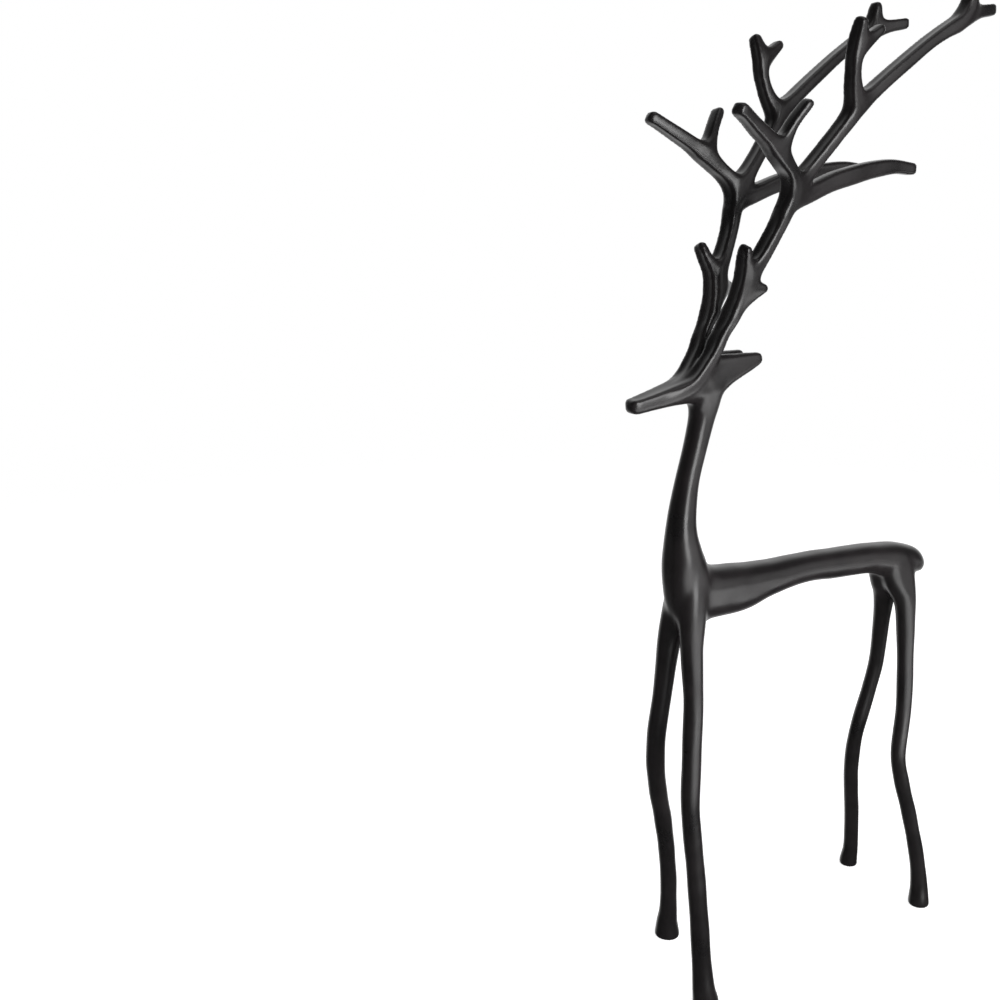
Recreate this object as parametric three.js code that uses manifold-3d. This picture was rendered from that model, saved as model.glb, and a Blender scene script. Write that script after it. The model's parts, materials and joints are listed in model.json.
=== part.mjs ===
// A standing reindeer, cast in one piece of aluminium and finished in satin black.
// It faces -Y, its left side is +X, and its four soles stand on z = 0.
import * as THREE from 'three';
import { mergeVertices } from 'three/addons/utils/BufferGeometryUtils.js';
import Module from 'manifold-3d';

// Driving sizes, in millimetres
const HEIGHT = 560; // soles to the highest prong of the antlers
const LEG_THICKNESS = 10; // a leg at mid length
const SOLE_WIDTH = 14; // a flared foot, just above the ground
const NARROW_SOLE_WIDTH = 12; // the right hind foot, which flares least
const SOLE_ROUNDING = 1.2; // height of the soft rim under the foot
const TRUNK_THICKNESS = 18; // the trunk at the loin
const NECK_THICKNESS = 12; // the neck at its thinnest, under the head
const HEAD_THICKNESS = 16; // the head at the cheeks
const EAR_WIDTH = 12; // an ear at mid length
const EAR_THICKNESS = 5; // the flat of an ear
const ANTLER_WIDTH = 7; // a beam seen from the side
const ANTLER_THICKNESS = 10; // a beam seen from the front

// The pose is written in shares of the height, so it follows HEIGHT
const POSE_SHARES = 1005; // the figure's height in those shares
const POSE_UNIT = HEIGHT / POSE_SHARES;

// Section shapes: 2 is an ellipse, and a higher number is squarer
const ROUND = 2.2;
const SOFT_SQUARE = 2.7;
const SLAB = 3.2;

const SIDE_TO_SIDE = new THREE.Vector3(1, 0, 0);

// Slopes of the rings that round off a limb's end
const DOME_SLOPES = [Math.PI / 5, Math.PI / 2.6];

const wasm = await Module();
wasm.setup();

// One row of a limb: a place in the pose, then its width and thickness in millimetres
const row = (x, y, z, width, thickness = width) => ({
  place: new THREE.Vector3(x, y, z).multiplyScalar(POSE_UNIT),
  girth: new THREE.Vector2(width, thickness),
});

// The same rows on the other side of the body
const mirrored = (rows) => rows.map(({ place, girth }) => ({
  place: place.clone().multiply(new THREE.Vector3(-1, 1, 1)),
  girth,
}));

// One ring of a limb's skin, a softened rectangle square to the limb's direction,
// with its thickness lying as nearly side to side as it can
function ring(centre, along, girth, sides, squareness) {
  const thick = SIDE_TO_SIDE.clone()
    .addScaledVector(along, -SIDE_TO_SIDE.dot(along))
    .normalize();
  const wide = along.clone().cross(thick);
  const soften = (value) => Math.sign(value) * Math.abs(value) ** (2 / squareness);
  return Array.from({ length: sides }, (_, side) => {
    const angle = (side + 0.5) * 2 * Math.PI / sides;
    return centre.clone()
      .addScaledVector(thick, soften(Math.cos(angle)) * girth.y / 2)
      .addScaledVector(wide, soften(Math.sin(angle)) * girth.x / 2);
  });
}

// A closed skin over a list of rings, with a fan at each end
function skin(rings) {
  const sides = rings[0].length;
  const middle = (loop) => loop
    .reduce((sum, point) => sum.add(point), new THREE.Vector3())
    .divideScalar(sides);
  const points = [...rings.flat(), middle(rings[0]), middle(rings.at(-1))];
  const startCentre = points.length - 2;
  const endCentre = points.length - 1;
  const lastRing = (rings.length - 1) * sides;
  const faces = [];
  for (let side = 0; side < sides; side += 1) {
    const next = (side + 1) % sides;
    faces.push(startCentre, next, side);
    faces.push(endCentre, lastRing + side, lastRing + next);
    for (let base = 0; base < lastRing; base += sides) {
      faces.push(base + side, base + next, base + sides + side);
      faces.push(base + next, base + sides + next, base + sides + side);
    }
  }
  const geometry = new THREE.BufferGeometry().setFromPoints(points);
  geometry.setIndex(faces);
  return geometry;
}

// A limb swept through its rows on a smooth curve, with a domed or a flat end
function limb(rows, { sides = 8, squareness = SLAB, steps = 2, domed = true } = {}) {
  const path = new THREE.CatmullRomCurve3(rows.map(({ place }) => place), false, 'centripetal');
  const girths = new THREE.SplineCurve(rows.map(({ girth }) => girth));
  const count = (rows.length - 1) * steps;
  const rings = Array.from({ length: count + 1 }, (_, index) => {
    const t = index / count;
    return ring(path.getPoint(t), path.getTangent(t), girths.getPoint(t), sides, squareness);
  });
  if (domed) {
    const along = path.getTangent(1);
    const girth = girths.getPoint(1);
    const radius = Math.min(girth.x, girth.y) / 2;
    for (const angle of DOME_SLOPES) {
      const centre = path.getPoint(1).addScaledVector(along, radius * Math.sin(angle));
      const smaller = girth.clone().multiplyScalar(Math.cos(angle));
      rings.push(ring(centre, along, smaller, sides, squareness));
    }
  }
  return skin(rings);
}

// Rows of an antler branch: widths and thicknesses are multiples of the beam's
const branch = (rows) => rows.map(([x, y, z, width, thickness]) => (
  row(x, y, z, width * ANTLER_WIDTH, thickness * ANTLER_THICKNESS)
));

// The left antler: a brow, a long beam that sweeps up and back, and the tines that leave them
const LEFT_ANTLER = [
  // brow, which rises from the muzzle in one curve and ends in a tine in front of the beam
  branch([
    [5, -214, 630, 0.45, 0.5], [6.5, -204, 632.5, 0.8, 0.75], [8, -193, 636, 0.9, 0.85],
    [9, -182.5, 640.5, 0.95, 0.9], [9.5, -174, 648, 0.92, 0.9], [10.5, -166, 658, 0.9, 0.9],
    [11.5, -159, 671.5, 0.85, 0.92], [13, -151.5, 687, 0.82, 0.94], [15, -143.5, 703, 0.85, 0.96],
    [17.5, -137.5, 722, 0.92, 0.96], [22, -136.5, 742, 0.83, 0.92], [27.5, -140.5, 757, 0.7, 0.84],
    [31, -143, 767, 0.6, 0.75],
  ]),
  // beam, then the stem that leans forward to its long tine
  branch([
    [14, -146, 697, 0.5, 0.8], [15.5, -138, 711, 0.83, 0.94], [18.5, -131, 727, 0.94, 0.98],
    [21.5, -127, 742, 0.9, 0.98], [25.5, -119.5, 758, 0.9, 1], [30, -109, 780, 0.92, 1],
    [34, -101, 798, 0.97, 1], [37.5, -98, 814, 1.02, 1], [40, -101, 825, 1.06, 1],
    [43.5, -109.5, 835.5, 1.12, 0.98], [47, -126, 848, 1.23, 0.92], [50.5, -143, 860, 1.15, 0.88],
    [54, -161, 870, 1.04, 0.82], [58.5, -182, 881.5, 0.94, 0.72],
  ]),
  // short tine behind the stem's fork
  branch([
    [46, -126, 847, 0.7, 0.78], [48.5, -120, 858, 0.83, 0.82], [52, -114, 873, 0.75, 0.8],
    [57, -104, 889, 0.66, 0.72],
  ]),
  // low tine that points back
  branch([
    [17, -135, 714, 0.8, 0.8], [20, -125, 723, 0.9, 0.84], [23.5, -115, 728.5, 0.7, 0.74],
    [25, -111, 730, 0.55, 0.64],
  ]),
  // long tine that sweeps straight back
  branch([
    [34, -105, 799, 0.6, 0.7], [35, -95, 805, 0.93, 0.86], [36, -80, 811, 1.12, 0.9],
    [35, -46, 825, 1.35, 0.8], [33, -11, 833, 1.28, 0.8], [31, 18, 838.5, 1.2, 0.76],
    [30, 46, 841, 1.02, 0.7], [30, 71, 839, 0.83, 0.64],
  ]),
  // upper beam, which runs on to the hindmost prong
  branch([
    [36, -101, 809, 0.6, 0.75], [38, -88, 826, 0.9, 0.92], [42, -65, 852, 0.95, 0.95],
    [46.5, -44, 877, 0.97, 0.95], [49.5, -29, 894, 1.15, 0.9], [51, -9, 909, 0.97, 0.86],
    [53, 23, 932, 0.93, 0.82], [55, 56, 954, 0.93, 0.8], [57, 91, 973, 1.18, 0.8],
    [54, 118, 983.5, 1.07, 0.76], [51.5, 140, 987.5, 0.92, 0.7],
  ]),
  // upright tine of the upper beam, with its outer prong
  branch([
    [48.5, -33, 884, 0.7, 0.75], [50.5, -37, 891, 1, 0.84], [53, -43.5, 902, 1, 0.8],
    [57, -51, 922, 0.9, 0.78], [60, -53, 942, 0.9, 0.76], [66, -54, 961, 0.64, 0.66],
  ]),
  // inner prong of the upright tine
  branch([
    [59, -52, 935, 0.6, 0.68], [60, -48, 941, 0.8, 0.72], [61.5, -38, 950, 0.74, 0.7],
    [63, -27, 957, 0.66, 0.65],
  ]),
  // upright prong at the end of the upper beam
  branch([
    [56.5, 88, 970, 0.8, 0.75], [57, 99, 988, 0.8, 0.75], [57, 103, 1000.75, 0.68, 0.7],
  ]),
];

// Rows of a leg: its width and thickness are multiples of a leg's
const leg = (rows) => rows.map(([x, y, z, width, thickness = width]) => (
  row(x, y, z, width * LEG_THICKNESS, thickness * LEG_THICKNESS)
));

// The foot flares to its sole and is rounded in at the rim, so it ends square to the ground
function foot(x, y, width = SOLE_WIDTH) {
  const rim = width - SOLE_ROUNDING;
  const rounding = SOLE_ROUNDING / POSE_UNIT;
  return [
    row(x, y, 3 * rounding, width - SOLE_ROUNDING / 2),
    row(x, y, rounding, width),
    row(x, y, 0, rim),
    row(x, y, -rounding, rim),
  ];
}

const LEGS = [
  // left fore leg, bowed a little forward
  [...leg([
    [12, -170, 446, 1.8, 1.3], [15, -172, 414, 1.5, 1.35], [17, -173, 382, 1.25],
    [21, -173, 325, 1.06], [27, -176, 273, 1], [33, -179, 218, 0.99], [39, -176, 155, 0.96],
    [45, -173, 93, 1.03], [51, -170, 38, 1.1], [54, -168, 18, 1.22],
  ]), ...foot(55, -167)],
  // right fore leg, bent at the knee with its foot set back
  [...leg([
    [-12, -170, 446, 1.8, 1.3], [-15, -172, 414, 1.5, 1.35], [-17, -174, 382, 1.3],
    [-21, -175, 325, 1.18], [-27, -177, 268, 1.14], [-33, -168, 218, 1.08], [-39, -153, 161, 1],
    [-46, -139, 96, 0.97], [-52, -129, 38, 1.02], [-56, -127, 18, 1.2],
  ]), ...foot(-57, -126)],
  // left hind leg, with the haunch at its top
  [...leg([
    [7, 128, 426, 3, 1.4], [11, 134, 398, 2.45, 1.35], [15, 140, 376, 1.65, 1.25],
    [18, 142, 348, 1.2], [22, 142, 310, 1.02], [28, 140, 252, 0.95], [34, 132, 193, 0.92],
    [37, 137, 160, 0.96], [41, 150, 121, 0.92], [48, 164, 59, 0.9], [52, 167, 24, 1.08],
  ]), ...foot(53, 167)],
  // right hind leg
  [...leg([
    [-7, 128, 426, 3, 1.4], [-11, 135, 398, 2.4, 1.35], [-15, 142, 376, 1.6, 1.25],
    [-18, 146, 348, 1.15], [-22, 149, 312, 1], [-28, 145, 250, 0.97], [-34, 137, 190, 1],
    [-39, 142, 143, 0.99], [-45, 153, 86, 0.96], [-49, 162, 36, 0.97], [-50, 164, 20, 1],
  ]), ...foot(-51, 164, NARROW_SOLE_WIDTH)],
];

// Rows whose width and thickness are multiples of one size
const scaledRows = (size, rows) => rows.map(([x, y, z, width, thickness = width]) => (
  row(x, y, z, width * size, thickness * size)
));

// The trunk, deep at the chest, thin at the loin, and drawn down into a short tail
const TRUNK = scaledRows(TRUNK_THICKNESS, [
  [0, -178, 428, 1.1, 1.2], [0, -150, 428, 1.6, 1.45], [0, -116, 428, 1.6, 1.3],
  [0, -93, 428, 1.45, 1.2], [0, -68, 430, 1.22, 1.12], [0, -43, 431, 1.1, 1.06], [0, -7, 433, 1, 1],
  [0, 32, 431, 0.98, 1], [0, 84, 428, 1.02, 1.05], [0, 115, 425, 1.16, 1.2],
  [0, 146, 418, 1, 1.2], [0, 166, 411, 0.7, 0.8], [0, 179, 404, 0.3, 0.4],
]);

// The neck, which rises from between the shoulders and leans forward
const NECK = scaledRows(NECK_THICKNESS, [
  [0, -170, 420, 1.6, 1.7], [0, -170, 446, 1.85, 2], [0, -172, 470, 1.75, 1.9],
  [0, -176, 490, 1.42, 1.55], [0, -177, 508, 1.2, 1.3], [0, -172, 545, 1, 1.08],
  [0, -165, 580, 0.95, 1], [0, -159, 607, 1.12, 1.12], [0, -157, 630, 1.45, 1.45],
  [0, -158, 648, 1.4, 1.5],
]);

// The head, a blunt wedge from the brow to the muzzle
const HEAD = scaledRows(HEAD_THICKNESS, [
  [0, -146, 645, 0.7, 0.8], [0, -156, 643, 0.87, 0.96], [0, -168, 640.5, 0.87, 1.02],
  [0, -185, 636, 0.81, 1.02], [0, -203, 633, 0.68, 0.92], [0, -221, 630, 0.57, 0.79],
  [0, -236, 627.5, 0.49, 0.65], [0, -241.5, 626.5, 0.45, 0.56],
]);

// The left ear, a leaf that points back and outward
const LEFT_EAR = [
  [8, -154, 643, 1.6, 1.6], [13, -144, 651.5, 1.33, 1.3], [20, -133, 659, 1, 1.04],
  [27, -121, 664, 0.72, 0.9], [30.5, -113.5, 667.5, 0.45, 0.75],
].map(([x, y, z, width, thickness]) => (
  row(x, y, z, width * EAR_WIDTH, thickness * EAR_THICKNESS)
));

// A closed geometry as a solid for joining and cutting
function solid(geometry) {
  const bare = geometry.clone();
  bare.deleteAttribute('normal');
  bare.deleteAttribute('uv');
  const merged = mergeVertices(bare);
  return new wasm.Manifold(new wasm.Mesh({
    numProp: 3,
    vertProperties: new Float32Array(merged.attributes.position.array),
    triVerts: new Uint32Array(merged.index.array),
  }));
}

// The solid's faces as a geometry again
function geometryOf(shape) {
  const { vertProperties, triVerts } = shape.getMesh();
  const geometry = new THREE.BufferGeometry();
  geometry.setAttribute('position', new THREE.BufferAttribute(vertProperties, 3));
  geometry.setIndex(new THREE.BufferAttribute(triVerts, 1));
  return geometry;
}

// The ground, which trims the feet flat
function ground() {
  const slab = new THREE.BoxGeometry(HEIGHT, HEIGHT, HEIGHT / 10);
  slab.translate(0, 0, -HEIGHT / 20);
  return solid(slab);
}

function reindeer() {
  const pieces = [
    limb(TRUNK, { sides: 12, squareness: SOFT_SQUARE }),
    limb(NECK, { sides: 12, squareness: SOFT_SQUARE, domed: false }),
    limb(HEAD, { sides: 10, squareness: SOFT_SQUARE }),
    ...[LEFT_EAR, mirrored(LEFT_EAR)].map((ear) => limb(ear, { squareness: ROUND })),
    ...LEGS.map((rows) => limb(rows, { sides: 10, squareness: ROUND, steps: 1, domed: false })),
    ...[...LEFT_ANTLER, ...LEFT_ANTLER.map(mirrored)].map((rows) => limb(rows, { steps: 1 })),
  ];
  const casting = pieces.map(solid).reduce((whole, piece) => whole.add(piece));
  const geometry = geometryOf(casting.subtract(ground()));
  geometry.computeBoundingBox();
  const middle = geometry.boundingBox.getCenter(new THREE.Vector3());
  geometry.translate(-middle.x, -middle.y, 0);
  geometry.computeVertexNormals();
  return geometry;
}

const blackenedMetal = new THREE.MeshStandardMaterial({
  color: 0x1c1a1b,
  roughness: 0.38,
  metalness: 0.7,
});

const figure = new THREE.Mesh(reindeer(), blackenedMetal);
figure.name = 'reindeer';

const sculpture = new THREE.Group();
sculpture.add(figure);

export default sculpture;
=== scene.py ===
"""A standing reindeer, cast in aluminium and finished in satin black, in a plain studio.

The casting is one smooth skin. Each limb is a softened bar swept along a curve. The limbs flow
into each other with rounded webs, and the whole is skinned in one go, so that it has no seams.
It faces -Y, its left side is +X, and its soles stand on z = 0.
"""

import json
import logging
import math
import sys
from dataclasses import dataclass, replace
from enum import Enum

import bpy
import numpy as np
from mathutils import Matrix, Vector


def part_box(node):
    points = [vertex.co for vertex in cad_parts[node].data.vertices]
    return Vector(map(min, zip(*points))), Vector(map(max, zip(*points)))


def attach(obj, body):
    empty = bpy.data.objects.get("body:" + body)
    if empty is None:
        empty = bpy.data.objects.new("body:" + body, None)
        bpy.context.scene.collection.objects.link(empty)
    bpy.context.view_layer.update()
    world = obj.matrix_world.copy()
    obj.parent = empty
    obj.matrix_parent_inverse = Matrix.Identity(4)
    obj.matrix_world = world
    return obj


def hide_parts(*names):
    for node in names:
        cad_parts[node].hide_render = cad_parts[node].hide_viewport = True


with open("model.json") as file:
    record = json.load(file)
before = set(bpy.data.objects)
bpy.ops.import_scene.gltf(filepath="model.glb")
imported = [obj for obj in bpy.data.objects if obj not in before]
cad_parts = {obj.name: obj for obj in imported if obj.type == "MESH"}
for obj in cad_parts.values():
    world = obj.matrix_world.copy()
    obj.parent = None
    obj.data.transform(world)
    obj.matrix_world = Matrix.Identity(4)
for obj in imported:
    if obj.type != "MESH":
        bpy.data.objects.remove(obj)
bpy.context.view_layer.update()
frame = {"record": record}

log = logging.getLogger("reindeer")

NODE = "reindeer"
MM = 0.001

# The pose is written in units that are shares of the figure's height: this many in all
POSE_HEIGHT = 1005.0
# How far the left fore sole lies along Y, in the pose's units. The frame has a mount there.
SOLE_ALONG = -167.0

# Section shapes: the share of the smaller half width that the corners are rounded by
ROUND = 0.95
SOFT = 0.8
SOFT_NECK = 0.74
WEDGE = 0.5
RIDGED = 0.42
# How much fuller each face is in its middle than at its edges, as a share
FACE_CROWN = 0.05
# Over how many millimetres a channel runs out towards the ends of its limb
CHANNEL_FADE = 6.0

# The share of a web that is left where a limb lies flush with the body
FLUSH_SHARE = 0.2
# How many times the turn between two skins is averaged before it sets the web
TURN_BLUR = 4
# How far from the body's skin its slope is still read, in millimetres
SLOPE_REACH = 40.0

# Spacing of the sampling grid, in millimetres
GRID_STEP = 1.15
# What the grid holds before any limb is added: far outside, in millimetres
EMPTY = 1e3


class End(Enum):
    """How a limb's last row is closed."""

    BLUNT = "blunt"
    OPEN = "open"


class Channel(Enum):
    """Which face of a limb is hollowed between its ridges."""

    NONE = 0.0
    UPPER = 1.0
    LEADING = -1.0


@dataclass
class Limb:
    """A bar swept through rows of (x, y, z, width, thickness).

    Places are in the pose's units. Width lies in the plane of the limb's own sweep and
    thickness lies side to side, both in millimetres. corner is the section's shape, web is how
    wide the limb's joins are, and rim is how softly its end is rounded, in millimetres too.
    """

    rows: list[tuple[float, float, float, float, float]]
    corner: float = RIDGED
    web: float = 9.0
    rim: float = 5.0
    end: End = End.BLUNT
    channel: Channel = Channel.NONE
    channel_depth: float = 0.0

    def mirrored(self) -> "Limb":
        """Return the same limb on the other side of the body."""
        return replace(self, rows=[(-row[0], *row[1:]) for row in self.rows])


def spline(points: np.ndarray, steps: int) -> np.ndarray:
    """Pass a centripetal curve through points.

    Args:
        points: The rows, one a line; the first three numbers are the place.
        steps: Samples for each stretch between two rows.

    Returns:
        The rows of the curve, with the last point included.
    """
    before = 2 * points[0] - points[1]
    after = 2 * points[-1] - points[-2]
    padded = np.vstack([before, points, after])
    knots = np.zeros(len(padded))
    for i in range(1, len(padded)):
        gap = np.linalg.norm(padded[i, :3] - padded[i - 1, :3])
        knots[i] = knots[i - 1] + math.sqrt(max(gap, 1e-6))
    rows = []
    for i in range(1, len(padded) - 2):
        p0, p1, p2, p3 = padded[i - 1 : i + 3]
        t0, t1, t2, t3 = knots[i - 1 : i + 3]
        for t in np.linspace(t1, t2, steps, endpoint=False):
            a1 = (t1 - t) / (t1 - t0) * p0 + (t - t0) / (t1 - t0) * p1
            a2 = (t2 - t) / (t2 - t1) * p1 + (t - t1) / (t2 - t1) * p2
            a3 = (t3 - t) / (t3 - t2) * p2 + (t - t2) / (t3 - t2) * p3
            b1 = (t2 - t) / (t2 - t0) * a1 + (t - t0) / (t2 - t0) * a2
            b2 = (t3 - t) / (t3 - t1) * a2 + (t - t1) / (t3 - t1) * a3
            rows.append((t2 - t) / (t2 - t1) * b1 + (t - t1) / (t2 - t1) * b2)
    rows.append(points[-1])
    return np.array(rows)


def unit(vectors: np.ndarray) -> np.ndarray:
    """Scale each row of vectors to length one."""
    return vectors / np.maximum(np.linalg.norm(vectors, axis=-1, keepdims=True), 1e-9)


def smooth_min(a: np.ndarray, b: np.ndarray, reach: float) -> np.ndarray:
    """Join two fields with a rounded web.

    Args:
        a: The first field.
        b: The second field.
        reach: How far apart the two may be and still round into each other.

    Returns:
        The joined field.
    """
    overlap = np.maximum(reach - np.abs(a - b), 0.0) / reach
    return np.minimum(a, b) - overlap * overlap * overlap * reach / 6.0


def webbed(body: np.ndarray, limb: np.ndarray, reach: float, step: float) -> np.ndarray:
    """Join a limb to the body with a web in the angle between them, and flush sides.

    Args:
        body: The body's field on a grid.
        limb: The limb's field on the same grid.
        reach: How far the web reaches where the two stand square to each other.
        step: The grid's spacing.

    Returns:
        The joined field.
    """
    near = np.clip(body, -SLOPE_REACH, SLOPE_REACH)
    slopes = [np.stack(np.gradient(values, step)) for values in (near, limb)]
    agree = (slopes[0] * slopes[1]).sum(0)
    lengths = [np.sqrt((slope * slope).sum(0)) + 1e-6 for slope in slopes]
    turn = np.clip(1.0 - agree / (lengths[0] * lengths[1]), FLUSH_SHARE, 1.0)
    return smooth_min(body, limb, reach * blurred(turn, TURN_BLUR))


def blurred(values: np.ndarray, passes: int) -> np.ndarray:
    """Soften a grid of values by averaging each with its neighbours.

    Args:
        values: The grid.
        passes: How many times it is averaged.

    Returns:
        The softened grid.
    """
    for _ in range(passes):
        for axis in range(3):
            before = np.take(values, [0, *range(values.shape[axis] - 1)], axis)
            after = np.take(values, [*range(1, values.shape[axis]), -1], axis)
            values = 0.5 * values + 0.25 * (before + after)
    return values


class SweptLimb:
    """A limb as finely sampled curves, ready to be measured against points in space."""

    # Samples for each stretch between two rows. The first search reads every third one.
    STEPS = 14
    EVERY = 3
    # How many points are measured at once
    BATCH = 40000
    # Passes that refine the nearest place, and how many samples each may move it by
    PASSES = 3
    MOVE = 2.0

    def __init__(self, limb: Limb, pose_unit: float, shift: float) -> None:
        """Sample the limb.

        Args:
            limb: The limb in the pose's units.
            pose_unit: Millimetres to one unit of the pose.
            shift: How far the pose moves along Y, in millimetres.
        """
        self.limb = limb
        rows = np.array(limb.rows, float)
        rows[:, :3] *= pose_unit
        rows[:, 1] += shift
        fine = spline(rows, self.STEPS)
        self.centre = fine[:, :3]
        self.half = fine[:, 3:5] / 2.0
        self.along = unit(np.gradient(self.centre, axis=0))
        side = np.tile(np.array([1.0, 0.0, 0.0]), (len(fine), 1))
        self.thick = unit(side - self.along * (side * self.along).sum(1, keepdims=True))
        self.wide = np.cross(self.along, self.thick)
        gaps = np.linalg.norm(np.diff(self.centre, axis=0), axis=1)
        self.run = np.concatenate([[0.0], np.cumsum(gaps)])[:, None]

    def box(self) -> tuple[np.ndarray, np.ndarray]:
        """Return the corners of the space that the limb's field reaches, in millimetres."""
        reach = self.half.max(axis=1, keepdims=True) + self.limb.web
        return (self.centre - reach).min(0), (self.centre + reach).max(0)

    def distance(self, points: np.ndarray) -> np.ndarray:
        """Measure how far points are from the limb's skin.

        Args:
            points: Places in millimetres, one a row.

        Returns:
            The distances, negative inside.
        """
        place = self._nearest(points)
        centre, along = self._at(self.centre, place), unit(self._at(self.along, place))
        thick, wide = unit(self._at(self.thick, place)), unit(self._at(self.wide, place))
        half = self._at(self.half, place)
        offset = points - centre
        across = (offset * thick).sum(1) / half[:, 1]
        upward = (offset * wide).sum(1) / half[:, 0]
        run = self._at(self.run, place)[:, 0] + (offset * along).sum(1)
        left = self.run[-1, 0] - run
        fade = np.clip(np.minimum(run, left) / CHANNEL_FADE, 0.0, 1.0)
        section = self._section(across, upward, half, fade)
        beyond = np.maximum(-run, -left) if self.limb.end is End.BLUNT else -run
        return -smooth_min(-section, -beyond, self.limb.rim)

    def _section(
        self, across: np.ndarray, upward: np.ndarray, half: np.ndarray, fade: np.ndarray
    ) -> np.ndarray:
        """Measure the distance to a rounded rectangle with slightly full faces.

        Args:
            across: Places from side to side, as shares of the half thickness.
            upward: Places along the width, as shares of the half width.
            half: The half width and the half thickness, in millimetres.
            fade: The share of the channel's depth that is left, less towards the limb's ends.

        Returns:
            The distances, in millimetres.
        """
        corner = self.limb.corner * np.minimum(half[:, 0], half[:, 1])
        full_side = 1.0 - FACE_CROWN * np.minimum(upward * upward, 1.0)
        full_face = 1.0 - FACE_CROWN * np.minimum(across * across, 1.0)
        dip = self.limb.channel_depth * fade * np.maximum(1.0 - across * across, 0.0)
        dip = np.where(upward * self.limb.channel.value > 0, dip, 0.0)
        side = np.abs(across) * half[:, 1] - (half[:, 1] * full_side - corner)
        face = np.abs(upward) * half[:, 0] - (half[:, 0] * full_face - dip - corner)
        outer = np.hypot(np.maximum(side, 0.0), np.maximum(face, 0.0))
        return outer + np.minimum(np.maximum(side, face), 0.0) - corner

    def _nearest(self, points: np.ndarray) -> np.ndarray:
        """Find the place along the limb's curve that is nearest to each point.

        Args:
            points: Places in millimetres, one a row.

        Returns:
            The places along the curve, counted in its samples.
        """
        place = np.empty(len(points))
        coarse = self.centre[:: self.EVERY]
        squares = (coarse**2).sum(1)
        for start in range(0, len(points), self.BATCH):
            part = points[start : start + self.BATCH]
            nearest = (squares - 2.0 * part @ coarse.T).argmin(1)
            place[start : start + self.BATCH] = nearest * self.EVERY
        last = len(self.centre) - 1.0
        speed = np.linalg.norm(np.gradient(self.centre, axis=0), axis=1)[:, None]
        for _ in range(self.PASSES):
            offset = points - self._at(self.centre, place)
            along = self._at(self.along, place)
            step = (offset * along).sum(1) / self._at(speed, place)[:, 0]
            place = np.clip(place + np.clip(step, -self.MOVE, self.MOVE), 0.0, last)
        return place

    @staticmethod
    def _at(table: np.ndarray, place: np.ndarray) -> np.ndarray:
        """Read a table of rows at places between its rows.

        Args:
            table: The rows.
            place: Where to read, counted in rows.

        Returns:
            One mixed row for each place.
        """
        low = np.minimum(place.astype(int), len(table) - 2)
        share = (place - low)[:, None]
        return table[low] * (1.0 - share) + table[low + 1] * share


@dataclass
class Trunk:
    """The trunk, deep at the chest, thin at the loin, and drawn down into a short tail."""

    web: float = 12.0
    rim: float = 6.0

    def limbs(self) -> list[Limb]:
        """Lay out the trunk, from the chest to the tail.

        Returns:
            The trunk as one limb.
        """
        rows = [
            (0, -172, 431, 10, 10),
            (0, -162, 430, 22, 18),
            (0, -148, 430.5, 27.5, 22.6),
            (0, -116, 429, 28.2, 22.5),
            (0, -93, 428.5, 26.3, 21),
            (0, -68, 431, 21.7, 20),
            (0, -43, 432.5, 18.9, 19),
            (0, -7, 434, 16.8, 18),
            (0, 32, 431.5, 17.6, 18),
            (0, 84, 428.5, 17.8, 19),
            (0, 115, 424, 19.6, 20.2),
            (0, 140, 420.3, 19, 20.4),
            (0, 156, 416.5, 17, 18.6),
            (0, 168, 410.8, 12.6, 14.6),
            (0, 180.5, 403.3, 5.2, 7),
        ]
        return [Limb(rows, SOFT, self.web, self.rim)]


@dataclass
class NeckAndHead:
    """The neck that rises from the shoulders, the blunt wedge of the head, and the ears."""

    neck_web: float = 26.0
    head_web: float = 15.0
    head_rim: float = 8.0
    ear_web: float = 10.0
    ear_rim: float = 4.0
    channel_depth: float = 1.3

    def limbs(self) -> list[Limb]:
        """Lay out the neck from the shoulders up, the head from back to muzzle, and the ears.

        Returns:
            The neck, the head and both ears.
        """
        neck = [
            (0, -166, 398, 9, 7),
            (0, -168, 410, 16, 13.2),
            (0, -170, 426, 20.8, 19.2),
            (0, -172.6, 446, 21.8, 22),
            (0, -174.8, 470, 20.6, 21.6),
            (0, -178, 490, 16.8, 18.2),
            (0, -178.5, 508, 14.5, 15.5),
            (0, -174, 545, 11.9, 12.8),
            (0, -165.5, 580, 11.7, 12.3),
            (0, -159, 607, 13.2, 13.2),
            (0, -155, 626, 15.5, 15),
            (0, -153, 644, 15, 16),
        ]
        head = [
            (0, -146, 645, 11, 13),
            (0, -156, 643.5, 14, 15.4),
            (0, -168, 641, 14.2, 16.4),
            (0, -185, 636.8, 13.2, 16.4),
            (0, -203, 633.8, 11, 14.8),
            (0, -221, 630.4, 9.4, 12.6),
            (0, -236, 627.6, 8.5, 10.6),
            (0, -244, 626.3, 8.3, 9.6),
            (0, -248.3, 625.7, 6.6, 7.8),
        ]
        ear = [
            (7.5, -154, 645, 20, 8),
            (9.5, -142, 652.3, 18.4, 7),
            (11, -127, 656.3, 14, 6),
            (12, -111.5, 660, 10, 5.2),
            (13, -98, 663.5, 5.8, 4.2),
        ]
        muzzle = {"channel": Channel.UPPER, "channel_depth": self.channel_depth}
        left_ear = Limb(ear, ROUND, self.ear_web, self.ear_rim)
        return [
            Limb(neck, SOFT_NECK, self.neck_web),
            Limb(head, WEDGE, self.head_web, self.head_rim, **muzzle),
            left_ear,
            left_ear.mirrored(),
        ]


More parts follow.
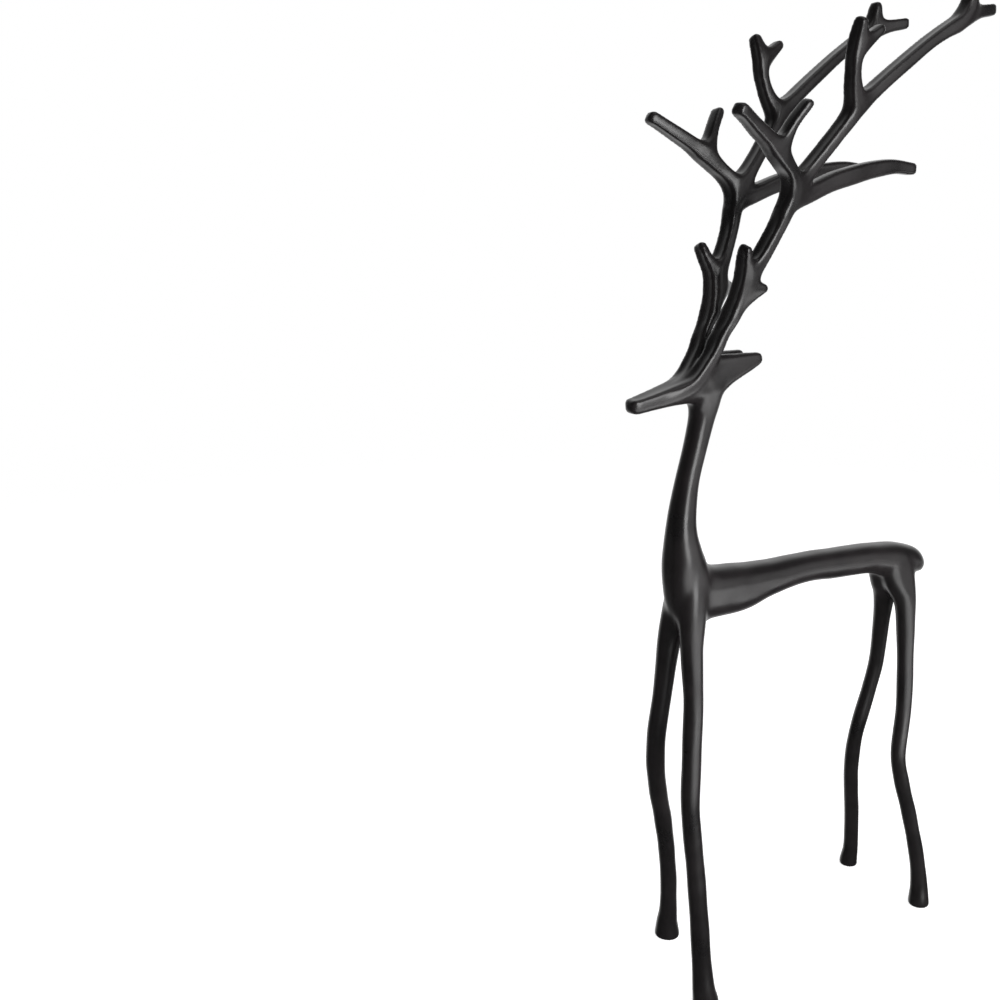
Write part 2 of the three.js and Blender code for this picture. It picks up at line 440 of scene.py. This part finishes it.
@dataclass
class Legs:
    """The four hand-bent legs. Each ends in a flared foot, square to the ground."""

    web: float = 12.0

    def limbs(self) -> list[Limb]:
        """Lay out each leg from inside the body down to just below the ground.

        Returns:
            The four legs.
        """
        left_fore = [
            (7, -167, 482, 6, 6),
            (8.5, -168, 464, 13.5, 12),
            (10.5, -169.5, 444, 16, 13.6),
            (12.5, -171, 425, 16.6, 14.2),
            (14.5, -172, 408, 15.6, 13.8),
            (17, -173.5, 382, 12.9, 12.9),
            (21, -171.5, 325, 11.3, 11.3),
            (27, -176, 273, 11.2, 11.2),
            (33, -180, 218, 10.9, 10.9),
            (39, -175.5, 155, 10.7, 10.7),
            (45, -172, 93, 11.1, 11.1),
            (51, -170, 38, 11.9, 11.9),
            (54, -169.5, 18, 13.2, 13.2),
            (55, -167, 3, 15.4, 15.4),
            (55, -167, -6, 16, 16),
        ]
        right_fore = [
            (-7, -167, 470, 6, 6),
            (-9, -168, 450, 12, 10),
            (-11.5, -169, 430, 14.6, 12.4),
            (-14, -171, 410, 14.6, 13),
            (-17, -173.5, 382, 13.4, 13.4),
            (-21, -176, 325, 11.2, 11.2),
            (-27, -177.5, 268, 11.3, 11.3),
            (-33, -170, 218, 11, 11),
            (-39, -153.5, 161, 10.7, 10.7),
            (-46, -138, 96, 10.2, 10.2),
            (-52, -130, 38, 11.2, 11.2),
            (-56, -127.5, 18, 13.4, 13.4),
            (-57, -126, 3, 15.6, 15.6),
            (-57, -126, -6, 16.2, 16.2),
        ]
        left_hind = [
            (4, 127, 434, 7, 6),
            (6, 128.5, 426, 16, 12),
            (8, 131, 414, 21.5, 13.6),
            (10.5, 134, 400, 21.5, 13.4),
            (15, 140.5, 376, 15, 12.2),
            (18, 142, 348, 11.6, 11.6),
            (22, 142, 310, 10.4, 10.4),
            (28, 139.5, 252, 9.9, 9.9),
            (34, 130.5, 193, 9.4, 9.4),
            (37, 137, 160, 9.5, 9.5),
            (41, 148.5, 121, 9.4, 9.4),
            (48, 163, 59, 9.8, 9.8),
            (51, 167.5, 24, 11, 11),
            (53, 167, 5, 13.3, 13.3),
            (53, 167, -6, 14, 14),
        ]
        right_hind = [
            (-4, 126, 436, 6, 6),
            (-6.5, 128, 424, 17, 11),
            (-9, 131, 410, 22, 13),
            (-11.5, 135.5, 396, 20, 13),
            (-15, 142, 376, 14.6, 12.2),
            (-18, 145.5, 348, 11.1, 11.1),
            (-22, 149, 310, 9.8, 9.8),
            (-25, 150, 280, 9.5, 9.5),
            (-28, 146, 250, 9.5, 9.5),
            (-34, 136.5, 190, 9.6, 9.6),
            (-39, 139.5, 143, 9.7, 9.7),
            (-45, 153, 86, 9.7, 9.7),
            (-49, 162, 36, 9.9, 9.9),
            (-50, 163.5, 20, 10.4, 10.4),
            (-51, 163, 5, 11.8, 11.8),
            (-51, 163, -6, 12.4, 12.4),
        ]
        legs = (left_fore, right_fore, left_hind, right_hind)
        return [Limb(rows, ROUND, self.web, end=End.OPEN) for rows in legs]


@dataclass
class Antlers:
    """The pair of antlers: long beams that sweep up and back, with their tines."""

    web: float = 15.0
    root_web: float = 9.0
    rim: float = 5.0
    channel_depth: float = 0.9

    def limbs(self) -> list[Limb]:
        """Lay out the left antler, and mirror it.

        Returns:
            The branches of the left antler, then of the right one.
        """
        brow = [
            (5, -214, 630, 3, 5),
            (6.5, -204, 632.5, 5.4, 7.4),
            (8, -193, 637.3, 6.6, 8.6),
            (8.8, -182.5, 642.5, 6.8, 9),
            (9.5, -174, 650, 6.6, 9),
            (10.3, -166.5, 660, 6.3, 9),
            (11.3, -159, 671.5, 5.9, 9.2),
            (12.7, -151.5, 687, 5.7, 9.4),
            (14.8, -143.5, 703, 5.9, 9.6),
            (17.5, -137.5, 722, 6.4, 9.6),
            (22, -136.5, 742, 5.8, 9.2),
            (27.5, -140.5, 757, 5.2, 8.4),
            (32.3, -143.6, 770, 4.3, 7.4),
        ]
        beam = [
            (13, -152, 688, 2.5, 6),
            (14, -144, 700, 4.6, 8.6),
            (15.5, -138, 711, 5.8, 9.4),
            (18.5, -131, 727, 6.6, 9.8),
            (21.5, -127, 742, 6.3, 9.8),
            (25.5, -119, 758, 6.7, 10),
            (30, -108.5, 780, 6.9, 10),
            (34, -101, 798, 6.8, 10),
            (37.5, -98, 814, 7.1, 10),
            (40, -101, 825, 7.4, 10),
            (43.5, -109.5, 835.5, 7.8, 9.8),
            (47, -126, 848, 8.6, 9.2),
            (50.5, -143, 860, 8, 8.8),
            (54, -161, 870, 7.3, 8.2),
            (59.7, -187.5, 884.8, 6.6, 7.4),
        ]
        rear_low = [
            (16.5, -137, 712, 5, 7.6),
            (20, -125, 723, 6.2, 8.4),
            (23.5, -115, 728.5, 4.8, 7.4),
            (25.8, -108, 731, 3.8, 6.4),
        ]
        short = [
            (46, -128.5, 844, 4.2, 7.5),
            (48.5, -121.5, 858, 5, 8),
            (52, -115.5, 873.5, 4.6, 7.8),
            (59, -101.5, 894.5, 4.6, 7.2),
        ]
        rear = [
            (34, -108, 797, 4, 7),
            (35, -95, 804.5, 6, 8.4),
            (36, -80, 811, 7.3, 9),
            (35, -46, 824.5, 9.4, 8.2),
            (33, -11, 832.5, 9.6, 8.2),
            (31, 18, 838, 8.9, 7.8),
            (30, 46, 840.5, 7.6, 7.2),
            (30, 76, 838.8, 6.2, 6.6),
        ]
        upper = [
            (35.5, -103, 806, 3.5, 7),
            (38, -88, 826, 6.4, 9.2),
            (42, -65, 852, 6.9, 9.5),
            (46.5, -44, 877, 7, 9.5),
            (49.5, -28.5, 895, 8.6, 9.2),
            (51, -9, 910.5, 7.8, 9),
            (53, 23, 933, 7.5, 8.6),
            (55, 56, 955, 7.2, 8.3),
            (57, 91, 973, 8.6, 8.1),
            (54, 118, 983.5, 7.5, 7.6),
            (50.8, 144.5, 988.2, 6.5, 7),
        ]
        up = [
            (48.5, -32, 885, 4.5, 7),
            (50.5, -36.5, 892, 6.8, 8.2),
            (53, -42.5, 902, 7.2, 8.2),
            (57, -49.5, 922, 6.4, 7.8),
            (60, -51.5, 942, 6.2, 7.6),
            (67.5, -53.5, 965.3, 4.6, 6.7),
        ]
        inner = [
            (58.5, -53, 930, 4, 6.5),
            (60, -46.5, 938.5, 6.2, 7.2),
            (61.5, -36, 948, 5.8, 7),
            (63.3, -22, 959.5, 4.7, 6.5),
        ]
        upright = [
            (56, 84, 964, 4.5, 7),
            (56.5, 92, 976, 6.2, 7.8),
            (57, 99, 988, 5.6, 7.5),
            (57.2, 104.3, 1006.5, 4.9, 7),
        ]
        grooved = (brow, beam, upper, up)
        plain = (rear_low, short, rear, inner, upright)
        ridged = {"channel": Channel.LEADING, "channel_depth": self.channel_depth}
        left = [Limb(rows, web=self.web, rim=self.rim, **ridged) for rows in grooved]
        left[0].web = self.root_web
        left += [Limb(rows, web=self.web, rim=self.rim) for rows in plain]
        return left + [branch.mirrored() for branch in left]


@dataclass
class Casting:
    """All the limbs joined in one field, and skinned as one closed mesh."""

    # Steps of the grid that are left empty around the casting
    MARGIN = 4.0
    # The hand finish as slow waves: radians a millimetre along X, Y and Z, and a phase
    WAVES = ((0.31, 0.0, 0.12, 0.7), (0.0, 0.27, -0.19, 2.1), (0.17, -0.2, 0.22, 0.0))
    # Passes that even out the mesh, how far each moves a vertex, and the least slope it trusts
    PASSES = 4
    EASE = 0.5
    LEAST_SLOPE = 0.05

    limbs: list[Limb]
    step: float = GRID_STEP
    sole_rim: float = 2.0
    unevenness: float = 0.16

    def __post_init__(self) -> None:
        """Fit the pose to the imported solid, and lay out the sampling grid."""
        low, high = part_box(NODE)
        self.pose_unit = (high.z - low.z) / MM / POSE_HEIGHT
        mounts = {m["name"]: m["pos_m"] for m in frame["record"]["mounts"]}
        sole = mounts["left_fore_sole"][1] / MM
        self.shift = sole - SOLE_ALONG * self.pose_unit
        margin = self.MARGIN * self.step
        self.corner = np.array(low) / MM - margin
        size = np.array(high) / MM + margin - self.corner
        self.cells = np.ceil(size / self.step).astype(int) + 1

    def field(self) -> np.ndarray:
        """Join the limbs one by one.

        Returns:
            The distance to the casting's skin on the whole grid, in millimetres.
        """
        whole = np.full(self.cells, EMPTY, np.float32)
        axes = [self.corner[i] + np.arange(self.cells[i]) * self.step for i in range(3)]
        for limb in self.limbs:
            swept = SweptLimb(limb, self.pose_unit, self.shift)
            low, high = swept.box()
            first = np.clip(np.floor((low - self.corner) / self.step).astype(int), 0, self.cells)
            last = np.clip(np.ceil((high - self.corner) / self.step).astype(int), 0, self.cells)
            window = tuple(slice(a, b) for a, b in zip(first, last))
            parts = [axis[w] for axis, w in zip(axes, window)]
            points = np.stack(np.meshgrid(*parts, indexing="ij"), axis=-1).reshape(-1, 3)
            near = swept.distance(points).reshape([len(p) for p in parts])
            whole[window] = webbed(whole[window], near.astype(np.float32), limb.web, self.step)
        return self._finished(whole, axes)

    def _finished(self, whole: np.ndarray, axes: list[np.ndarray]) -> np.ndarray:
        """Leave the surface slightly uneven, and trim the feet flat with a soft rim.

        Args:
            whole: The distance to the joined limbs.
            axes: The grid's places along X, Y and Z, in millimetres.

        Returns:
            The distance to the finished casting.
        """
        x, y, z = np.meshgrid(*axes, indexing="ij", sparse=True)
        wave = sum(np.sin(a * x + b * y + c * z + phase) for a, b, c, phase in self.WAVES)
        whole = whole + (self.unevenness / len(self.WAVES) * wave).astype(np.float32)
        return -smooth_min(-whole, z.astype(np.float32), self.sole_rim)

    def mesh(self) -> tuple[np.ndarray, np.ndarray]:
        """Skin the field.

        Returns:
            The vertices in millimetres, and the faces as rows of four vertex numbers.
        """
        values = self.field()
        points, quads = surface_net(values, self.corner, self.step)
        for _ in range(self.PASSES):
            points = self._settled(points, quads, values)
        points[:, 2] = np.maximum(points[:, 2], 0.0)
        return points, quads

    def _settled(self, points: np.ndarray, quads: np.ndarray, values: np.ndarray) -> np.ndarray:
        """Even out the vertices and put them back on the skin.

        Args:
            points: The vertices in millimetres.
            quads: The faces.
            values: The field on the grid.

        Returns:
            The moved vertices.
        """
        total = np.zeros_like(points)
        count = np.zeros(len(points))
        for a, b in ((0, 1), (1, 2), (2, 3), (3, 0)):
            np.add.at(total, quads[:, a], points[quads[:, b]])
            np.add.at(total, quads[:, b], points[quads[:, a]])
            np.add.at(count, quads[:, a], 1.0)
            np.add.at(count, quads[:, b], 1.0)
        moved = points + self.EASE * (total / count[:, None] - points)
        value, slope = read_field(values, (moved - self.corner) / self.step)
        slope = slope / self.step
        steepness = np.maximum((slope * slope).sum(1), self.LEAST_SLOPE)
        return moved - slope * (value / steepness)[:, None]

    def build(self) -> bpy.types.Object:
        """Make the casting from its skin, and give it its finish.

        Returns:
            The casting.
        """
        points, quads = self.mesh()
        mesh = bpy.data.meshes.new("reindeer_casting")
        mesh.from_pydata((points * MM).tolist(), [], quads.tolist())
        mesh.validate()
        mesh.shade_smooth()
        casting = bpy.data.objects.new("reindeer_casting", mesh)
        bpy.context.scene.collection.objects.link(casting)
        mesh.materials.append(BlackenedMetal().material())
        return casting


def read_field(values: np.ndarray, places: np.ndarray) -> tuple[np.ndarray, np.ndarray]:
    """Read a grid between its points.

    Args:
        values: The grid.
        places: Places in grid steps.

    Returns:
        The values there, and their slopes for one grid step.
    """
    low = np.clip(np.floor(places).astype(int), 0, np.array(values.shape) - 2)
    share = places - low
    corners = {}
    for i in (0, 1):
        for j in (0, 1):
            for k in (0, 1):
                corners[i, j, k] = values[low[:, 0] + i, low[:, 1] + j, low[:, 2] + k]
    weights = [(1.0 - share[:, a], share[:, a]) for a in range(3)]
    value = np.zeros(len(places))
    slope = np.zeros((len(places), 3))
    for (i, j, k), corner in corners.items():
        wx, wy, wz = weights[0][i], weights[1][j], weights[2][k]
        value += corner * wx * wy * wz
        slope[:, 0] += corner * (2 * i - 1) * wy * wz
        slope[:, 1] += corner * (2 * j - 1) * wx * wz
        slope[:, 2] += corner * (2 * k - 1) * wx * wy
    return value, slope


def surface_net(
    values: np.ndarray, corner: np.ndarray, step: float
) -> tuple[np.ndarray, np.ndarray]:
    """Skin a field where it changes sign, with one vertex in each crossed cell.

    Args:
        values: The field on a grid, negative inside.
        corner: The grid's lowest corner.
        step: The grid's spacing.

    Returns:
        The vertices, and the faces as rows of four vertex numbers, facing out.
    """
    inside = values < 0
    shape = np.array(values.shape)
    total = np.zeros((*(shape - 1), 3), np.float32)
    count = np.zeros(shape - 1, np.int8)
    crossings = []
    for axis in range(3):
        a = np.take(values, range(shape[axis] - 1), axis)
        b = np.take(values, range(1, shape[axis]), axis)
        crossed = (a < 0) != (b < 0)
        index = np.argwhere(crossed)
        va, vb = a[crossed], b[crossed]
        place = index.astype(np.float32)
        place[:, axis] += va / (va - vb)
        others = [i for i in range(3) if i != axis]
        for i in (0, 1):
            for j in (0, 1):
                cell = index.copy()
                cell[:, others[0]] -= i
                cell[:, others[1]] -= j
                np.add.at(total, tuple(cell.T), place)
                np.add.at(count, tuple(cell.T), 1)
        crossings.append((axis, others, index, inside[tuple(index.T)]))
    used = np.argwhere(count > 0)
    number = np.full(count.shape, -1, np.int64)
    number[tuple(used.T)] = np.arange(len(used))
    vertices = total[tuple(used.T)] / count[tuple(used.T)][:, None]
    faces = []
    for axis, others, index, starts_inside in crossings:
        loop = []
        for i, j in ((0, 0), (1, 0), (1, 1), (0, 1)):
            cell = index.copy()
            cell[:, others[0]] -= i
            cell[:, others[1]] -= j
            loop.append(number[tuple(cell.T)])
        quad = np.stack(loop, axis=1)
        flip = starts_inside if axis == 1 else ~starts_inside
        quad[flip] = quad[flip][:, ::-1]
        faces.append(quad)
    return vertices.astype(float) * step + corner, np.concatenate(faces)


@dataclass(frozen=True)
class BlackenedMetal:
    """Satin black over a hand-dressed casting: near black, faintly warm, and a little uneven."""

    deep: tuple[float, float, float] = (0.0056, 0.0050, 0.0053)
    worn: tuple[float, float, float] = (0.0150, 0.0122, 0.0130)
    deep_below: float = 0.35
    worn_above: float = 0.85
    specular: float = 0.55
    smoothest: float = 0.26
    roughest: float = 0.36
    cloud_scale: float = 38.0
    cloud_detail: float = 4.0
    cloud_spread: tuple[float, float] = (0.3, 0.7)
    grain_scale: float = 900.0
    grain_detail: float = 3.0
    grain_strength: float = 0.15
    grain_height: float = 0.0001
    noise_roughness: float = 0.55

    def material(self) -> bpy.types.Material:
        """Build the material's nodes.

        Returns:
            The material.
        """
        material = bpy.data.materials.new("blackened_metal_satin")
        material.use_nodes = True
        nodes, links = material.node_tree.nodes, material.node_tree.links
        shader = nodes["Principled BSDF"]
        shader.inputs["Metallic"].default_value = 0.0
        shader.inputs["Specular IOR Level"].default_value = self.specular
        clouds = self._noise(material, self.cloud_scale, self.cloud_detail)
        grain = self._noise(material, self.grain_scale, self.grain_detail)
        tint = nodes.new("ShaderNodeValToRGB")
        tint.color_ramp.elements[0].position = self.deep_below
        tint.color_ramp.elements[0].color = (*self.deep, 1.0)
        tint.color_ramp.elements[1].position = self.worn_above
        tint.color_ramp.elements[1].color = (*self.worn, 1.0)
        links.new(clouds.outputs["Fac"], tint.inputs["Fac"])
        links.new(tint.outputs["Color"], shader.inputs["Base Color"])
        gloss = nodes.new("ShaderNodeMapRange")
        gloss.inputs["From Min"].default_value = self.cloud_spread[0]
        gloss.inputs["From Max"].default_value = self.cloud_spread[1]
        gloss.inputs["To Min"].default_value = self.smoothest
        gloss.inputs["To Max"].default_value = self.roughest
        links.new(clouds.outputs["Fac"], gloss.inputs["Value"])
        links.new(gloss.outputs["Result"], shader.inputs["Roughness"])
        bump = nodes.new("ShaderNodeBump")
        bump.inputs["Strength"].default_value = self.grain_strength
        bump.inputs["Distance"].default_value = self.grain_height
        links.new(grain.outputs["Fac"], bump.inputs["Height"])
        links.new(bump.outputs["Normal"], shader.inputs["Normal"])
        return material

    def _noise(self, material: bpy.types.Material, scale: float, detail: float) -> bpy.types.Node:
        """Add a noise that is fixed to the object.

        Args:
            material: The material that gets it.
            scale: The noise's scale, for metres.
            detail: How many finer layers it has.

        Returns:
            The noise node.
        """
        nodes, links = material.node_tree.nodes, material.node_tree.links
        place = nodes.new("ShaderNodeTexCoord")
        noise = nodes.new("ShaderNodeTexNoise")
        noise.inputs["Scale"].default_value = scale
        noise.inputs["Detail"].default_value = detail
        noise.inputs["Roughness"].default_value = self.noise_roughness
        links.new(place.outputs["Object"], noise.inputs["Vector"])
        return noise


@dataclass(frozen=True)
class PaleFloor:
    """A round, evenly pale floor that melts into the backdrop at its rim."""

    reach: float = 1.5
    sides: int = 64
    paint: tuple[float, float, float] = (0.86, 0.86, 0.86)
    roughness: float = 0.9
    glow: float = 0.85
    solid_share: float = 0.35

    def build(self) -> bpy.types.Object:
        """Lay the floor under the soles.

        Returns:
            The floor.
        """
        mesh = bpy.data.meshes.new("studio_floor")
        turns = [2 * math.pi * i / self.sides for i in range(self.sides)]
        rim = [(self.reach * math.cos(t), self.reach * math.sin(t), 0.0) for t in turns]
        mesh.from_pydata(rim, [], [tuple(range(self.sides))])
        mesh.materials.append(self.material())
        floor = bpy.data.objects.new("studio_floor", mesh)
        floor.visible_glossy = False
        bpy.context.scene.collection.objects.link(floor)
        return floor

    def material(self) -> bpy.types.Material:
        """Build the material's nodes, with the fade towards the rim.

        Returns:
            The material.
        """
        material = bpy.data.materials.new("pale_floor")
        material.use_nodes = True
        nodes, links = material.node_tree.nodes, material.node_tree.links
        shader = nodes["Principled BSDF"]
        shader.inputs["Base Color"].default_value = (*self.paint, 1.0)
        shader.inputs["Roughness"].default_value = self.roughness
        shader.inputs["Emission Color"].default_value = (1.0, 1.0, 1.0, 1.0)
        shader.inputs["Emission Strength"].default_value = self.glow
        place = nodes.new("ShaderNodeTexCoord")
        length = nodes.new("ShaderNodeVectorMath")
        length.operation = "LENGTH"
        links.new(place.outputs["Object"], length.inputs[0])
        fade = nodes.new("ShaderNodeMapRange")
        fade.interpolation_type = "SMOOTHSTEP"
        fade.inputs["From Min"].default_value = self.solid_share * self.reach
        fade.inputs["From Max"].default_value = self.reach
        fade.inputs["To Min"].default_value = 1.0
        fade.inputs["To Max"].default_value = 0.0
        links.new(length.outputs["Value"], fade.inputs["Value"])
        links.new(fade.outputs["Result"], shader.inputs["Alpha"])
        return material


@dataclass(frozen=True)
class Softbox:
    """A soft rectangular light. Places and sizes are in metres, and power is in watts."""

    name: str
    place: tuple[float, float, float]
    size: tuple[float, float]
    power: float
    aim: tuple[float, float, float] = (0.0, 0.0, 0.3)

    def hang(self) -> None:
        """Hang the light, facing its aim."""
        data = bpy.data.lights.new(self.name, "AREA")
        data.shape = "RECTANGLE"
        data.size, data.size_y = self.size
        data.energy = self.power
        lamp = bpy.data.objects.new(self.name, data)
        lamp.location = self.place
        facing = Vector(self.aim) - Vector(self.place)
        lamp.rotation_euler = facing.to_track_quat("-Z", "Y").to_euler()
        bpy.context.scene.collection.objects.link(lamp)


# The table lights lie just over the floor and face straight up, like a lit table top
STRAIGHT_UP = (0.0, 0.0, 1000.0)
LIGHTS = (
    Softbox("top_softbox", (0.1, 0.2, 1.9), (1.2, 1.2), 3.2),
    Softbox("side_softbox", (1.6, 0.02, 0.66), (1.0, 1.25), 31.0),
    Softbox("fill_softbox", (1.3, 1.0, 0.6), (1.0, 1.15), 2.5),
    Softbox("table_glow", (0.62, 0.05, 0.01), (1.0, 0.5), 4.6, STRAIGHT_UP),
    Softbox("table_fill", (0.62, 0.6, 0.01), (1.0, 0.6), 1.0, STRAIGHT_UP),
)


@dataclass
class Studio:
    """A plain pale floor, soft light, and a camera at the photograph's viewing angle.

    Lengths are in metres and angles in degrees. azimuth is how far the camera has gone round
    the figure from its front, and pitch is how far it looks down.
    """

    focal_px: float = 1150.0
    image_px: float = 1000.0
    sensor_mm: float = 36.0
    azimuth: float = 58.43
    pitch: float = 14.34
    distance: float = 0.6490
    sideways: float = -0.18240
    height: float = 0.44783
    aim_y: float = 0.01785
    bright: float = 1.0
    bright_within: float = 38.0
    dim: float = 0.05
    dim_beyond: float = 66.0

    def camera(self) -> bpy.types.Object:
        """Place the camera, level, looking down a little at the figure's left side.

        Returns:
            The camera.
        """
        data = bpy.data.cameras.new("studio_camera")
        data.sensor_width = self.sensor_mm
        data.lens = self.focal_px / self.image_px * data.sensor_width
        data.clip_start = 0.01
        turn, tilt = math.radians(self.azimuth), math.radians(self.pitch)
        right = Vector((math.cos(turn), math.sin(turn), 0.0))
        ahead = Vector((-math.sin(turn), math.cos(turn), 0.0))
        view = ahead * math.cos(tilt) - Vector((0.0, 0.0, math.sin(tilt)))
        camera = bpy.data.objects.new("studio_camera", data)
        camera.location = right * self.sideways - ahead * self.distance
        camera.location += Vector((0.0, self.aim_y, self.height))
        camera.rotation_euler = view.to_track_quat("-Z", "Y").to_euler()
        bpy.context.scene.collection.objects.link(camera)
        bpy.context.scene.camera = camera
        return camera

    def air(self) -> None:
        """Light the surroundings: white behind the figure, dim towards its front."""
        world = bpy.data.worlds.new("studio_air")
        bpy.context.scene.world = world
        world.use_nodes = True
        nodes, links = world.node_tree.nodes, world.node_tree.links
        background = nodes["Background"]
        place = nodes.new("ShaderNodeTexCoord")
        facing = nodes.new("ShaderNodeVectorMath")
        facing.operation = "DOT_PRODUCT"
        turn = math.radians(self.azimuth)
        facing.inputs[1].default_value = (-math.sin(turn), math.cos(turn), 0.0)
        links.new(place.outputs["Generated"], facing.inputs[0])
        ramp = nodes.new("ShaderNodeMapRange")
        ramp.interpolation_type = "SMOOTHSTEP"
        ramp.inputs["From Min"].default_value = math.cos(math.radians(self.dim_beyond))
        ramp.inputs["From Max"].default_value = math.cos(math.radians(self.bright_within))
        ramp.inputs["To Min"].default_value = self.dim
        ramp.inputs["To Max"].default_value = self.bright
        links.new(facing.outputs["Value"], ramp.inputs["Value"])
        background.inputs["Color"].default_value = (1.0, 1.0, 1.0, 1.0)
        # The backdrop itself is white from every side
        seen = nodes.new("ShaderNodeLightPath")
        level = nodes.new("ShaderNodeMath")
        level.operation = "MAXIMUM"
        links.new(seen.outputs["Is Camera Ray"], level.inputs[0])
        links.new(ramp.outputs["Result"], level.inputs[1])
        links.new(level.outputs["Value"], background.inputs["Strength"])

    def build(self) -> None:
        """Set up the camera, the floor, the lights and the pale surroundings."""
        self.camera()
        floor = PaleFloor().build()
        self.air()
        for softbox in LIGHTS:
            softbox.hang()
        bpy.context.scene.view_settings.view_transform = "Standard"
        log.info("%s and %d lights", floor.name, len(LIGHTS))


def main() -> None:
    """Build the studio and the casting, and report them."""
    logging.basicConfig(level=logging.INFO, format="%(name)s: %(message)s", stream=sys.stdout)
    Studio().build()
    limbs = []
    for part in (Trunk(), NeckAndHead(), Legs(), Antlers()):
        made = part.limbs()
        log.info("%s: %d limbs", type(part).__name__, len(made))
        limbs.extend(made)
    casting = Casting(limbs).build()
    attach(casting, "root")
    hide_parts(NODE)
    mesh = casting.data
    log.info("%s: %d vertices, %d faces", casting.name, len(mesh.vertices), len(mesh.polygons))


if __name__ == "__main__":
    main()
